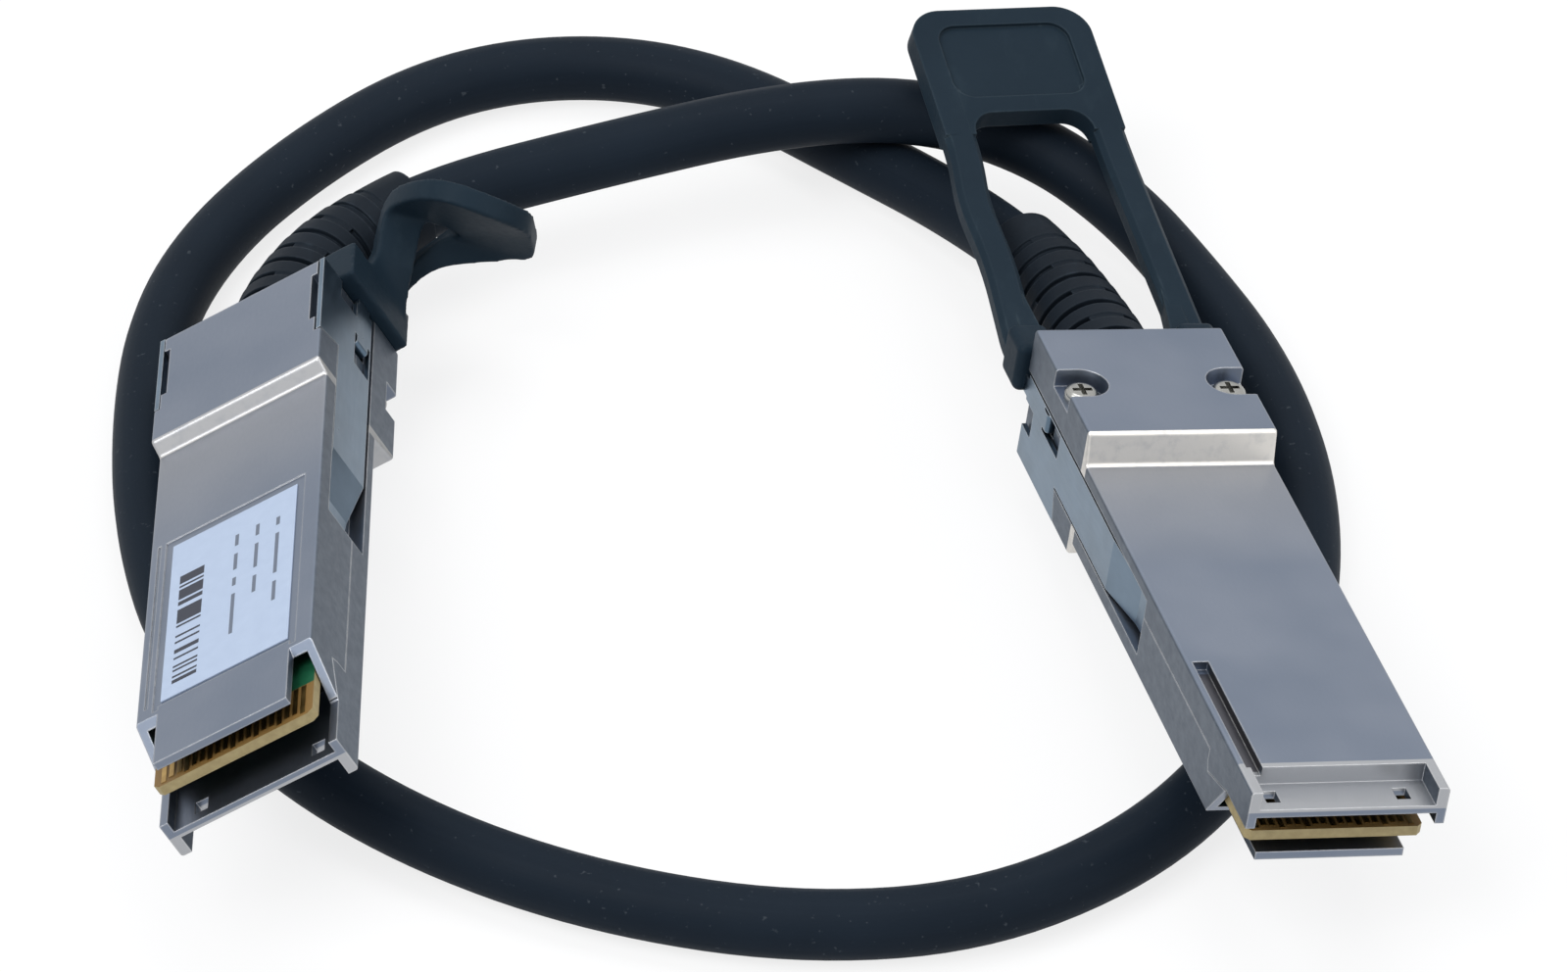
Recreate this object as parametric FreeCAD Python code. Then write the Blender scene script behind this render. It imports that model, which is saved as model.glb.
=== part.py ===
import FreeCAD, Part

import math
import os

from FreeCAD import Placement, Rotation, Vector

# Short stacking cable: two pluggable connectors on one round cable that lies in a crossed loop.
# Millimetres. Each plug is drawn in its own frame: x runs from the tip of the nose to the cable end,
# y across, z from the label face (0) to the screw face. The assembly has +Z up and stands on z = 0.

# Plug envelope
PLUG_LENGTH = 72.3
PLUG_WIDTH = 18.35
PLUG_HEIGHT = 8.5
BLOCK_LENGTH = 19.1
BLOCK_SLOPE = 0.7
COVER_RISE = 3.2
BASE_RISE = 1.5
EDGE_ROUND = 0.3
STEP_ROUND = 0.45
REAR_ROUND = 1.3
PARTING_Z = 5.6
SEAM_GAP = 0.06

# Nose
SIDE_WALL = 0.85
NOSE_PLATE_SETBACK = 2.1
NOSE_PLATE_WIDTH = 13.8
NOSE_PLATE_THICK = 0.8
SHOULDER_X = 9.8
SKIRT_FRONT_X = 6.0
SKIRT_REAR_X = 11.3
SKIRT_Z = 4.8
SKIRT_HOOK_DROP = 1.3
LIP_UNDERSIDE_Z = 5.9
LIP_THICK = 0.8
LEDGE_DEPTH_X = 4.0
LEDGE_RIM = 1.05
LEDGE_HOLE = (1.7, 1.3)
LEDGE_HOLE_Y = (6.55, -5.55)
SLOT_REAR_X = 20.7
SLOT_WIDTH = 1.5
SLOT_EDGE = 0.65
SLOT_DEPTH = 0.9

# Inside of the shells
FLOOR = 1.2
ROOF = 1.3
CAVITY_FRONT_X = 10.5
CAVITY_NECK_X = 28.0
CAVITY_REAR_WIDTH = 13.2
CAVITY_END_X = 60.5
CARD_REST_X = (15.0, 33.0)
CARD_REST_LENGTH = 1.2

# Paddle card
CARD_TIP_X = 1.9
CARD_THICK = 1.0
CARD_Z = 2.25
CARD_SIDE_CLEARANCE = 0.115
CARD_REAR_CLEARANCE = 0.2
CARD_NECK_SETBACK = 2.0
CARD_END_X = 42.0
CARD_HOLD_CLEARANCE = 0.05
PAD_COUNT = 19
PAD_PITCH = 0.8
PAD_WIDTH = 0.5
PAD_LENGTH = 4.2
PAD_THICK = 0.05
PAD_SETBACK = 0.35
CHIP_SIZE = (3.0, 2.0, 0.8)
CHIP_X = 21.0

# Latch arms and return springs
LATCH_TRAVEL = 2.5
ARM_THICK = 0.5
ARM_SINK = 0.05
ARM_CLEARANCE = 0.15
ARM_TOP_GAP = 0.35
ARM_LOW_Z = 1.75
ARM_HIGH_Z = 7.0
ARM_PLATE_X = 59.4
ARM_PLATE_LEAN = 1.0
ARM_PLATE_END_X = 71.6
ARM_BEND_X = 43.0
ARM_RAMP = 6.5
ARM_DIP = 0.95
ARM_TIP_X = 32.5
POCKET_RUN = 3.2
ARM_TIP_LOW_Z = 2.4
ARM_TIP_HIGH_Z = 5.4
ARM_TAIL_LENGTH = 4.6
ARM_TAIL_WIDTH = 1.8
PLATE_NOTCH_X = 69.0
PLATE_NOTCH_Z = (1.7, 4.4)
PLATE_SLOT_X = (61.5, 69.2)
PLATE_SLOT_DEPTH = 0.6
PLATE_SLOT_HEIGHT = 1.2
TONGUE_X = 65.0
TONGUE_DEPTH = 1.9
TONGUE_WIDTH = 1.8
TONGUE_BEND = 0.4
TONGUE_RELIEF = 1.3
WINDOW_LENGTH = 4.0
WINDOW_WIDTH = 2.5
SPRING_OUTER = 1.8
SPRING_WIRE = 0.3
SPRING_TURNS = 5
SPRING_STEPS = 10
SPRING_LENGTH = 5.4
SPRING_CLEARANCE = 0.3

# Cover screws
SCREW_X = 62.6
SCREW_Y = 7.2
SCREW_SHANK = 1.6
SCREW_HEAD = 3.2
SCREW_HEAD_HEIGHT = 1.1
SCREW_HOLE_CLEARANCE = 0.05
SCREW_END_Z = 1.6
SCREW_CROSS = (0.5, 1.9, 0.7)
POCKET_DIAMETER = 4.7
POCKET_DEPTH = 1.8

# Label
LABEL_X = 10.4
LABEL_RECESS = 0.12
LABEL_RECESS_LENGTH = 27.2
LABEL_RECESS_WIDTH = 14.9
LABEL_END_MARGIN = 1.15
LABEL_SIDE_MARGIN = 0.8
LABEL_THICK = 0.1
SCRIBE_WIDTH = 0.3

# Cable, ferrule, wires and boot
CABLE_DIAMETER = 6.4
CABLE_INSET = 8.3
FERRULE_WALL = 0.8
FERRULE_LENGTH = 7.0
FERRULE_FIT = 0.05
PAIR_DIAMETER = 0.9
PAIR_RING = 2.1
PAIR_ROW_Y = (-4.6, -1.6, 1.6, 4.6)
PAIR_SOLDER_LENGTH = 4.0
PAIR_STRAIGHT = 3.0
BOOT_LENGTH = 25.6
BOOT_FIT = 0.1
BOOT_GAP = 0.5
BOOT_CORE = 8.0
BOOT_ROOT = 10.0
BOOT_TIP = 8.5
BOOT_RINGS = 8
BOOT_GROOVE = 0.9
BOOT_COLLAR = 4.2
BOOT_WEB = 3.4
FLANGE_DIAMETER = 9.6
FLANGE_THICK = 1.6
NECK_DIAMETER = 8.2
NECK_WALL = 2.1
SEAT_CLEARANCE = 0.1

# Pull tab
TAB_GAP = 0.3
TAB_BASE_LENGTH = 4.6
TAB_BASE_WIDTH = 3.8
TAB_OVERHANG = 1.0
TAB_BASE_LOW_Z = 4.4
TAB_BASE_HIGH_Z = 9.4
TAB_STRAP_Z = 6.6
TAB_BASE_ROUND = 0.8
STRAP_WIDTH = 3.2
ROOT_WIDTH = 4.2
ROOT_LENGTH = 11.0
ROOT_THICK = 1.8
STRAP_THICK = 2.2
STRAP_CHAMFER = 0.5
GRIP_LENGTH = 13.0
GRIP_WIDTH = 18.6
GRIP_THICK = 2.2
GRIP_ROUND = 3.4
GRIP_WINDOW_ROUND = 2.4
GRIP_EAR = 2.6
GRIP_PANEL = (9.0, 13.6)
GRIP_PANEL_DEPTH = 0.4
GRIP_PANEL_ROUND = 2.0

# How each plug lies: where its cable comes out, and its yaw, pitch and roll
LEFT_EXIT = Vector(-47.36, 17.05, 10.10)
LEFT_TURN = (90.7, 6.9, 149.6)
RIGHT_EXIT = Vector(31.66, 11.2, 9.82)
RIGHT_TURN = (104.2, 6.3, 9.7)

# How each pull tab lies in its plug's frame: the grip's centre and turn, and the straps' way to it
RIGHT_GRIP = Placement(Vector(113.6, 1.0, 16.2), Rotation(4, -20, 0))
RIGHT_STRAPS = {
    1: [Vector(88, 7.9, 8.8), Vector(96, 8.6, 10.7)],
    -1: [Vector(90, -8.0, 9.3)],
}
LEFT_GRIP = Placement(Vector(82.0, 19.7, 8.0), Rotation(96.0, -48.8, 165.9))
LEFT_STRAPS = {
    1: [Vector(87.3, 13.2, 3.4)],
    -1: [
        Vector(84.0, -3.6, 10.9), Vector(84.6, 5.7, 14.8), Vector(80.5, 13.5, 12.0), Vector(77.5, 16.5, 8.5),
    ],
}

# Cable route between the plugs, over itself at the back and under both noses. It leaves each plug straight.
LEFT_LEAD = 4.4
RIGHT_LEAD = 8.15
ROUTE_MIDDLE = [
    Vector(-43.0, 32.3, 9.0), Vector(-33.7, 40.8, 9.1), Vector(-17.2, 46.9, 9.8),
    Vector(-0.7, 52.4, 10.4), Vector(13.1, 53.7, 10.4), Vector(24.6, 50.5, 8.6), Vector(33.3, 43.8, 6.0),
    Vector(39.3, 34.9, 4.2), Vector(45.0, 23.9, 3.2), Vector(48.5, 10.2, 3.2), Vector(49.3, -4.5, 3.2),
    Vector(47.3, -19.1, 3.2), Vector(42.0, -33.4, 3.2), Vector(32.3, -46.1, 3.2),
    Vector(18.0, -54.8, 3.2), Vector(1.3, -56.4, 3.2), Vector(-16.2, -52.4, 3.2),
    Vector(-31.7, -44.7, 3.2), Vector(-44.9, -33.6, 3.2), Vector(-54.7, -19.1, 3.2),
    Vector(-59.1, -2.3, 3.2), Vector(-60.3, 14.6, 3.2), Vector(-59.5, 29.8, 3.2),
    Vector(-54.9, 42.9, 3.2), Vector(-46.5, 54.9, 3.2), Vector(-36.4, 64.9, 3.2),
    Vector(-25.9, 69.4, 3.2), Vector(-14.4, 69.5, 3.2), Vector(-3.7, 65.1, 3.2), Vector(6.6, 56.0, 3.4),
    Vector(16.5, 45.5, 5.0), Vector(24.4, 33.4, 7.4),
]
ARC_SHARE = 0.45

# Places that follow from the sizes above
HALF = PLUG_WIDTH / 2
COVER_TOP_Z = PLUG_HEIGHT + COVER_RISE
CABLE_Z = (COVER_TOP_Z - BASE_RISE) / 2
CABLE_RADIUS = CABLE_DIAMETER / 2
BLOCK_X = PLUG_LENGTH - BLOCK_LENGTH
REACH = 2 * PLUG_LENGTH
X_AXIS = Vector(1, 0, 0)
Y_AXIS = Vector(0, 1, 0)
Z_AXIS = Vector(0, 0, 1)
ARM_OUTER_Y = HALF - ARM_SINK
ARM_INNER_Y = ARM_OUTER_Y - ARM_THICK
RECESS_Y = ARM_INNER_Y - ARM_CLEARANCE
FLANGE_END_X = PLUG_LENGTH - NECK_WALL
FLANGE_START_X = FLANGE_END_X - FLANGE_THICK
FERRULE_RADIUS = CABLE_RADIUS + FERRULE_FIT + FERRULE_WALL
TONGUE_END_X = TONGUE_X + ARM_THICK
SPRING_Y = ARM_INNER_Y - TONGUE_DEPTH / 2
CHANNEL_HALF = SPRING_OUTER / 2 + SPRING_CLEARANCE
POCKET_Z = COVER_TOP_Z - POCKET_DEPTH
CARD_TOP_Z = CARD_Z + CARD_THICK
CARD_WIDTH = PLUG_WIDTH - 2 * (SIDE_WALL + CARD_SIDE_CLEARANCE)
CARD_REAR_WIDTH = CAVITY_REAR_WIDTH - 2 * CARD_REAR_CLEARANCE
CARD_NECK_X = CAVITY_NECK_X - CARD_NECK_SETBACK
LABEL_LENGTH = LABEL_RECESS_LENGTH - 2 * LABEL_END_MARGIN
LABEL_WIDTH = LABEL_RECESS_WIDTH - 2 * LABEL_SIDE_MARGIN
TAB_BASE_X = PLUG_LENGTH + TAB_GAP
TAB_OUTER_Y = HALF + TAB_OVERHANG
TAB_INNER_Y = TAB_OUTER_Y - TAB_BASE_WIDTH
TAB_MIDDLE_Y = TAB_OUTER_Y - STRAP_WIDTH / 2


def box(x_range, y_range, z_range):
    low, high = zip(x_range, y_range, z_range)
    return Part.makeBox(high[0] - low[0], high[1] - low[1], high[2] - low[2], Vector(*low))


def side_prism(points, y_range):
    """A prism whose outline lies in x and z."""
    wire = Part.makePolygon([Vector(x, y_range[0], z) for x, z in points + points[:1]])
    return Part.Face(wire).extrude(Y_AXIS * (y_range[1] - y_range[0]))


def plan_prism(points, z_range):
    """A prism whose outline lies in x and y."""
    wire = Part.makePolygon([Vector(x, y, z_range[0]) for x, y in points + points[:1]])
    return Part.Face(wire).extrude(Z_AXIS * (z_range[1] - z_range[0]))


def along_x(radius, x_range, y=0.0, z=CABLE_Z):
    return Part.makeCylinder(radius, x_range[1] - x_range[0], Vector(x_range[0], y, z), X_AXIS)


def both_sides(shape):
    """The shape of the near side (+y) and its mirror image."""
    return [shape, shape.mirror(Vector(), Y_AXIS)]


def fuse_all(shapes):
    return shapes[0].fuse(shapes[1:]).removeSplitter()


def rounded_path(points):
    """Straight runs joined by tangent arcs that are as large as the runs allow. Gives edges and radii."""
    edges = []
    radii = []
    last = points[0]
    for before, corner, after in zip(points, points[1:], points[2:]):
        back = (before - corner).normalize()
        ahead = (after - corner).normalize()
        reach = ARC_SHARE * min((before - corner).Length, (after - corner).Length)
        half_turn = (math.pi - back.getAngle(ahead)) / 2
        radius = reach / math.tan(half_turn)
        start = corner + back * reach
        end = corner + ahead * reach
        inward = (back + ahead).normalize()
        middle = corner + inward * (radius / math.cos(half_turn) - radius)
        edges.append(Part.LineSegment(last, start).toShape())
        edges.append(Part.Arc(start, middle, end).toShape())
        radii.append(radius)
        last = end
    edges.append(Part.LineSegment(last, points[-1]).toShape())
    return edges, radii


def rounded_outline(points, radii):
    """A closed outline with an arc of the given radius at each corner, or none where it is 0."""
    edges = []
    ends = []
    for index, corner in enumerate(points):
        back = (points[index - 1] - corner).normalize()
        ahead = (points[(index + 1) % len(points)] - corner).normalize()
        half_turn = (math.pi - back.getAngle(ahead)) / 2
        radius = radii[index]
        reach = radius * math.tan(half_turn)
        middle = corner + (back + ahead).normalize() * (radius / math.cos(half_turn) - radius)
        ends.append((corner + back * reach, middle, corner + ahead * reach))
    for index, (start, middle, end) in enumerate(ends):
        edges.append(Part.LineSegment(ends[index - 1][2], start).toShape())
        if radii[index] > 0:
            edges.append(Part.Arc(start, middle, end).toShape())
    return Part.Wire(edges)


def stretch(edges, start, end):
    """The part of a path between two distances along it."""
    pieces = []
    for edge in edges:
        low = max(start, 0.0)
        high = min(end, edge.Length)
        if high - low > 1e-6:
            low_parameter = edge.getParameterByLength(low)
            high_parameter = edge.getParameterByLength(high)
            pieces.append(edge.Curve.toShape(low_parameter, high_parameter))
        start -= edge.Length
        end -= edge.Length
    return pieces


def carried(face, edges):
    """The solids that a face sweeps: pushed along straight runs and turned about the centres of arcs."""
    solids = []
    for edge in edges:
        start = edge.valueAt(edge.FirstParameter)
        heading = edge.tangentAt(edge.FirstParameter)
        next_face = face.copy()
        if isinstance(edge.Curve, Part.Circle):
            centre = edge.Curve.Center
            axis = (start - centre).cross(heading)
            turn = math.degrees(edge.Length / edge.Curve.Radius)
            solids.append(face.revolve(centre, axis, turn))
            next_face.rotate(centre, axis, turn)
        else:
            run = edge.valueAt(edge.LastParameter) - start
            solids.append(face.extrude(run))
            next_face.translate(run)
        face = next_face
    return solids


def path_start(edges):
    """Where a path starts, turned so that x is its heading."""
    start = edges[0].valueAt(edges[0].FirstParameter)
    heading = edges[0].tangentAt(edges[0].FirstParameter)
    return Placement(start, Rotation(X_AXIS, heading))


def disc(radius):
    return Part.Face(Part.Wire(Part.makeCircle(radius, Vector(), X_AXIS)))


def round_tube(edges, radius):
    return fuse_all(carried(moved(disc(radius), path_start(edges)), edges))


def moved(shape, placement):
    copy = shape.copy()
    copy.Placement = placement.multiply(copy.Placement)
    return copy


def plug_placement(exit_point, turn):
    """From a plug's own frame to where the plug lies."""
    centred = Placement(Vector(-PLUG_LENGTH, 0, -CABLE_Z), Rotation())
    return Placement(exit_point, Rotation(*turn)).multiply(centred)


def on_axis(placement, distance):
    """A point on a plug's cable axis, at a distance behind its rear face."""
    return placement.multVec(Vector(PLUG_LENGTH + distance, 0, CABLE_Z))


def plug_block():
    """Both shells as one solid, before the inside is cut and the seam made."""
    corners = [
        (SHOULDER_X, 0, 0), (SKIRT_FRONT_X, SKIRT_Z, 0), (0, SKIRT_Z, 0), (0, PLUG_HEIGHT, 0),
        (BLOCK_X, PLUG_HEIGHT, STEP_ROUND), (BLOCK_X + BLOCK_SLOPE, COVER_TOP_Z, STEP_ROUND),
        (PLUG_LENGTH, COVER_TOP_Z, STEP_ROUND), (PLUG_LENGTH, -BASE_RISE, REAR_ROUND),
        (BLOCK_X + BLOCK_SLOPE, -BASE_RISE, STEP_ROUND), (BLOCK_X, 0, STEP_ROUND),
    ]
    points = [Vector(x, -HALF, z) for x, z, _ in corners]
    outline = rounded_outline(points, [radius for _, _, radius in corners])
    block = Part.Face(outline).extrude(Y_AXIS * PLUG_WIDTH)
    side_edges = []
    for edge in block.Edges:
        middle = edge.CenterOfMass
        on_side = edge.BoundBox.YLength < 0.01
        on_nose = middle.x < 0.1 or (middle.z < SKIRT_Z + 0.1 and middle.x < SHOULDER_X)
        if on_side and not on_nose:
            side_edges.append(edge)
    return block.makeFillet(EDGE_ROUND, side_edges)


def nose_cuts():
    mouth_y = HALF - SIDE_WALL
    ledge_y = HALF - LEDGE_RIM
    ledge_z = LIP_UNDERSIDE_Z + LIP_THICK
    slot_y = HALF - SLOT_EDGE
    mouth_end = CAVITY_FRONT_X + 1
    cuts = [
        box((-1, mouth_end), (-mouth_y, mouth_y), (NOSE_PLATE_THICK, LIP_UNDERSIDE_Z)),
        box((-1, LEDGE_DEPTH_X), (-ledge_y, ledge_y), (ledge_z, REACH)),
        box((LEDGE_DEPTH_X, SLOT_REAR_X), (slot_y - SLOT_WIDTH, slot_y), (PLUG_HEIGHT - SLOT_DEPTH, REACH)),
    ]
    length, width = LEDGE_HOLE
    for y in LEDGE_HOLE_Y:
        x = (LEDGE_DEPTH_X - length) / 2
        cuts.append(box((x, x + length), (y - width / 2, y + width / 2), (LIP_UNDERSIDE_Z - 0.1, REACH)))
    return cuts


def inside_cuts():
    front_y = HALF - SIDE_WALL
    rear_y = CAVITY_REAR_WIDTH / 2
    height = (FLOOR, PLUG_HEIGHT - ROOF)
    return [
        box((CAVITY_FRONT_X, CAVITY_NECK_X), (-front_y, front_y), height),
        box((CAVITY_NECK_X, CAVITY_END_X), (-rear_y, rear_y), height),
        box((BLOCK_X + ROOF, CAVITY_END_X), (-rear_y, rear_y), (FLOOR, CABLE_Z + FERRULE_RADIUS)),
        along_x(FERRULE_RADIUS + SEAT_CLEARANCE, (CAVITY_END_X - 1, FLANGE_START_X)),
        along_x(FLANGE_DIAMETER / 2 + SEAT_CLEARANCE, (FLANGE_START_X, FLANGE_END_X)),
        along_x(NECK_DIAMETER / 2 + SEAT_CLEARANCE, (FLANGE_END_X, PLUG_LENGTH + 1)),
    ]


def latch_cuts():
    """Recess for the near arm, the deep pocket under its tip and the channel of its spring."""
    low = ARM_LOW_Z - ARM_CLEARANCE
    high = ARM_HIGH_Z + ARM_TOP_GAP
    plate_x = ARM_PLATE_X - 2 * ARM_CLEARANCE
    pocket_end_x = ARM_BEND_X + POCKET_RUN
    outline = [
        (pocket_end_x - 1, low), (pocket_end_x - 1, high), (PLUG_LENGTH + 1, high),
        (PLUG_LENGTH + 1, -BASE_RISE - 1), (plate_x, -BASE_RISE - 1), (plate_x, -BASE_RISE),
        (plate_x + ARM_PLATE_LEAN, low),
    ]
    pocket_y = ARM_INNER_Y - ARM_DIP - ARM_CLEARANCE
    tip_x = ARM_TIP_X - ARM_CLEARANCE
    channel_end_x = TONGUE_END_X + SPRING_LENGTH
    channel_z = (PARTING_Z - CHANNEL_HALF, PARTING_Z + CHANNEL_HALF)
    recess = side_prism(outline, (RECESS_Y, HALF + 1))
    pocket = box((tip_x, pocket_end_x), (pocket_y, HALF + 1), (low, high))
    channel = box((TONGUE_X - ARM_THICK, channel_end_x), (SPRING_Y - CHANNEL_HALF, HALF), channel_z)
    slot_y = (RECESS_Y - PLATE_SLOT_DEPTH, HALF)
    slot = box(PLATE_SLOT_X, slot_y, (-BASE_RISE - 1, PLATE_SLOT_HEIGHT - BASE_RISE))
    return both_sides(fuse_all([recess, pocket, channel, slot]))


def screw_cuts():
    hole_radius = SCREW_SHANK / 2 + SCREW_HOLE_CLEARANCE
    hole_z = SCREW_END_Z - SEAT_CLEARANCE
    at_hole = Vector(SCREW_X, SCREW_Y, hole_z)
    at_pocket = Vector(SCREW_X, SCREW_Y, POCKET_Z)
    hole = Part.makeCylinder(hole_radius, POCKET_Z - hole_z + 1, at_hole)
    radius = POCKET_DIAMETER / 2
    pocket = Part.makeCylinder(radius, POCKET_DEPTH + 1, at_pocket)
    mouth = box((SCREW_X - radius, SCREW_X + radius), (SCREW_Y, HALF + 1), (POCKET_Z, REACH))
    return both_sides(hole.fuse([pocket, mouth]))


def label_cuts():
    recess_y = LABEL_RECESS_WIDTH / 2
    recess_end_x = LABEL_X + LABEL_RECESS_LENGTH
    line_y = -(HALF - SIDE_WALL)
    return [
        box((LABEL_X, recess_end_x), (-recess_y, recess_y), (-1, LABEL_RECESS)),
        box((LABEL_X + 1, recess_end_x), (line_y, line_y + SCRIBE_WIDTH), (-1, LABEL_RECESS)),
    ]


def make_shells():
    """The base (label side) and the cover (screw side)."""
    body = plug_block().cut(nose_cuts() + inside_cuts() + latch_cuts() + screw_cuts() + label_cuts())
    skirt = [
        (-1, PARTING_Z + 0.1), (-1, SKIRT_Z - 0.1), (SKIRT_FRONT_X, SKIRT_Z - 0.1),
        (SKIRT_REAR_X - 0.4, SKIRT_Z - SKIRT_HOOK_DROP), (SKIRT_REAR_X, SKIRT_Z - 0.4),
        (SKIRT_REAR_X, PARTING_Z + 0.1),
    ]
    upper = box((-1, REACH), (-HALF - 1, HALF + 1), (PARTING_Z, REACH))
    upper = upper.fuse(side_prism(skirt, (-HALF - 1, HALF + 1)))
    cover = body.common(upper)
    upper.translate(Vector(0, 0, -SEAM_GAP))
    base = body.cut(upper)
    plate_y = NOSE_PLATE_WIDTH / 2
    rest_y = CAVITY_REAR_WIDTH / 2
    base_parts = [base]
    cover_parts = [cover]
    nose_plate_end = CAVITY_FRONT_X + 0.5
    base_parts.append(box((NOSE_PLATE_SETBACK, nose_plate_end), (-plate_y, plate_y), (0, NOSE_PLATE_THICK)))
    for x in CARD_REST_X:
        x_range = (x, x + CARD_REST_LENGTH)
        base_parts.append(box(x_range, (-rest_y, rest_y), (FLOOR, CARD_Z)))
        hold_z = CARD_TOP_Z + CARD_HOLD_CLEARANCE
        cover_parts.append(box(x_range, (-rest_y, rest_y), (hold_z, PLUG_HEIGHT - ROOF)))
    return fuse_all(base_parts), fuse_all(cover_parts)


def make_screws():
    screws = []
    for side in (1, -1):
        at_shank = Vector(SCREW_X, side * SCREW_Y, SCREW_END_Z)
        at_head = Vector(SCREW_X, side * SCREW_Y, POCKET_Z)
        shank = Part.makeCylinder(SCREW_SHANK / 2, POCKET_Z - SCREW_END_Z, at_shank)
        head = Part.makeCylinder(SCREW_HEAD / 2, SCREW_HEAD_HEIGHT, at_head)
        top_z = POCKET_Z + SCREW_HEAD_HEIGHT
        rim = [edge for edge in head.Edges if abs(edge.BoundBox.ZMin - top_z) < 0.01]
        head = head.makeFillet(SCREW_HEAD_HEIGHT / 2, rim)
        width, length, depth = SCREW_CROSS
        slot = Part.makeBox(length, width, depth + 1, Vector(-length / 2, -width / 2, 0))
        slot.translate(Vector(SCREW_X, side * SCREW_Y, top_z - depth))
        crossing = slot.copy()
        crossing.rotate(at_head, Z_AXIS, 90)
        screws.append(shank.fuse(head).cut([slot, crossing]).removeSplitter())
    return Part.makeCompound(screws)


def make_card():
    front_y = CARD_WIDTH / 2
    rear_y = CARD_REAR_WIDTH / 2
    bevel = CARD_THICK / 2
    outline = [
        (CARD_TIP_X, front_y - bevel), (CARD_TIP_X + bevel, front_y), (CARD_NECK_X, front_y),
        (CARD_NECK_X + 1, rear_y), (CARD_END_X, rear_y), (CARD_END_X, -rear_y), (CARD_NECK_X + 1, -rear_y),
        (CARD_NECK_X, -front_y), (CARD_TIP_X + bevel, -front_y), (CARD_TIP_X, bevel - front_y),
    ]
    return plan_prism(outline, (CARD_Z, CARD_TOP_Z))


def make_pads():
    pads = []
    for index in range(PAD_COUNT):
        y = (index - (PAD_COUNT - 1) / 2) * PAD_PITCH
        setback = PAD_SETBACK if index % 3 == 0 else 2 * PAD_SETBACK
        x_range = (CARD_TIP_X + setback, CARD_TIP_X + PAD_SETBACK + PAD_LENGTH)
        y_range = (y - PAD_WIDTH / 2, y + PAD_WIDTH / 2)
        pads.append(box(x_range, y_range, (CARD_TOP_Z, CARD_TOP_Z + PAD_THICK)))
        pads.append(box(x_range, y_range, (CARD_Z - PAD_THICK, CARD_Z)))
    return Part.makeCompound(pads)


def make_chip():
    length, width, height = CHIP_SIZE
    return box((CHIP_X, CHIP_X + length), (-width / 2, width / 2), (CARD_TOP_Z, CARD_TOP_Z + height))


def make_pairs():
    """Eight pairs that spread from a ring in the cable to two rows on the card."""
    radius = PAIR_DIAMETER / 2
    solder_x = CARD_END_X - PAIR_SOLDER_LENGTH
    cable_x = PLUG_LENGTH - CABLE_INSET
    pairs = []
    for above in (1, -1):
        row_z = CARD_TOP_Z + radius if above == 1 else CARD_Z - radius
        for index, row_y in enumerate(PAIR_ROW_Y):
            turn = math.pi * (0.875 - 0.25 * index)
            ring_y = PAIR_RING * math.cos(turn)
            ring_z = CABLE_Z + above * PAIR_RING * math.sin(turn)
            points = [
                Vector(solder_x, row_y, row_z), Vector(CARD_END_X + PAIR_STRAIGHT, row_y, row_z),
                Vector(CAVITY_END_X - PAIR_STRAIGHT, ring_y, ring_z), Vector(cable_x, ring_y, ring_z),
            ]
            edges, _ = rounded_path(points)
            pairs.append(round_tube(edges, radius))
    return Part.makeCompound(pairs)


def make_ferrule():
    x_range = (FLANGE_START_X - FERRULE_LENGTH, FLANGE_START_X - SEAT_CLEARANCE)
    bore = along_x(CABLE_RADIUS + FERRULE_FIT, (x_range[0] - 1, x_range[1] + 1))
    return along_x(FERRULE_RADIUS, x_range).cut(bore)


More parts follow.
